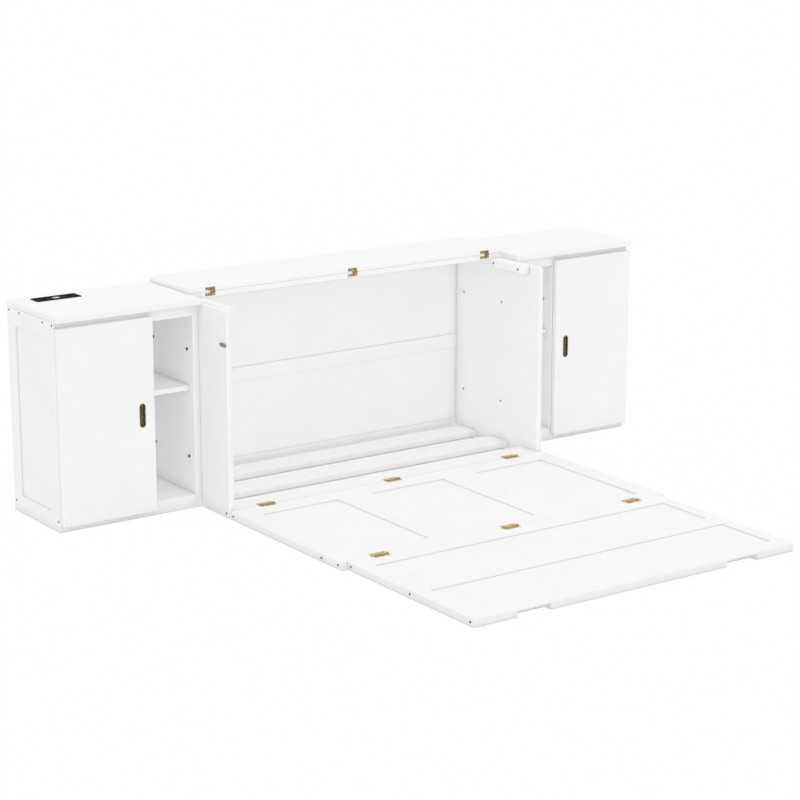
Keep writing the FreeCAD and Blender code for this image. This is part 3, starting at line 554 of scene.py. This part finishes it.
# %% [markdown]
# ## Floor, light and camera
# The bed is shown on a white ground in very even light, with hardly a shadow. The floor is a pale
# sheet that is lifted towards white only where it is seen, so it still sends its own light up into
# the bed. Close to what stands on it the lift fades, which leaves the thin shadow along each edge.
# One lamp could not reach into the niches without hard shadows, so the sky is an even white, a
# wide lamp above gives the tops their slight lead, and two fills that cast no shadow open up the
# corners.

# %% What only eyes and mirrors see
def where_seen(base):
    """1 for the camera's own rays and for what metal or glass shows of the background."""
    path = base.node("LightPath").socket.node.outputs
    camera, glossy, through = (Wire(base.tree, path[f"Is {kind} Ray"])
                               for kind in ("Camera", "Glossy", "Transmission"))
    return (camera + glossy + through).clamp(0, 1)


# %% Floor
floor_size, floor_tone = 120, 0.82
floor_lift, contact_reach, contact_shade = 0.98, 0.009, 0.74
fresh()
bpy.ops.mesh.primitive_plane_add(size=floor_size, location=(0, 0, 0))
floor = bpy.context.object
floor.name = "floor"
floor_material, floor_shader, base = new_finish("pale_floor")
floor_shader.inputs["Base Color"].default_value = colour(floor_tone, floor_tone, floor_tone)
floor_shader.inputs["Roughness"].default_value = 0.9
floor_shader.inputs["Specular IOR Level"].default_value = 0
contact = corners(base, contact_reach).clamp(0.20, 0.55)
lift = where_seen(base) * (floor_lift - contact * contact_shade)
white = base.node("Emission", sockets={"Color": colour(1, 1, 1), "Strength": 1.0})
plain = Wire(base.tree, floor_shader.outputs[0])
shown = base.node("MixShader", sockets={0: lift, 1: plain, 2: white})
base.tree.links.new(shown.socket, base.tree.nodes["Material Output"].inputs["Surface"])
dress(floor, floor_material)
print("floor:", floor.name)

# %% Sky and lamps
sky_strength = 0.79
world = bpy.data.worlds.new("even_sky")
bpy.context.scene.world = world
world.use_nodes = True
base = Wire(world.node_tree)
backdrop = world.node_tree.nodes["Background"]
backdrop.inputs["Color"].default_value = colour(1, 1, 1)
strength = sky_strength + where_seen(base) * (1 - sky_strength)
base.tree.links.new(strength.socket, backdrop.inputs["Strength"])


def far_lamp(name, azimuth, elevation, strength, width=20):
    """A lamp so far off that its light is even over the whole bed."""
    lamp = bpy.data.lights.new(name, "SUN")
    lamp.angle = math.radians(width)
    lamp.energy = strength
    holder = bpy.data.objects.new(name, lamp)
    holder.rotation_euler = (math.radians(90 - elevation), 0, math.radians(azimuth))
    bpy.context.scene.collection.objects.link(holder)
    return holder


def even_fill(name, azimuth, elevation, strength):
    """Light from one side into every corner: it casts no shadow and leaves no highlight."""
    holder = far_lamp(name, azimuth, elevation, strength)
    holder.data.use_shadow = False
    holder.visible_glossy = False


far_lamp("top_softbox", azimuth=0, elevation=86, strength=0.24, width=60)
even_fill("front_fill", azimuth=-40, elevation=20, strength=0.68)
even_fill("back_fill", azimuth=135, elevation=20, strength=0.55)
print("lit by:", [light.name for light in bpy.data.lights])

# %% Camera
camera_place = (-4.9632, -6.7096, 2.5472)
camera_tilt, camera_turn = math.radians(75.776), math.radians(-34.942)
lens = bpy.data.cameras.new("photo_camera")
lens.lens = 107.77
lens.sensor_width = 36
camera = bpy.data.objects.new("photo_camera", lens)
camera.location = camera_place
camera.rotation_euler = (camera_tilt, 0, camera_turn)
bpy.context.scene.collection.objects.link(camera)
bpy.context.scene.camera = camera
bpy.context.scene.view_settings.view_transform = "Standard"
print("camera at", tuple(camera.location))
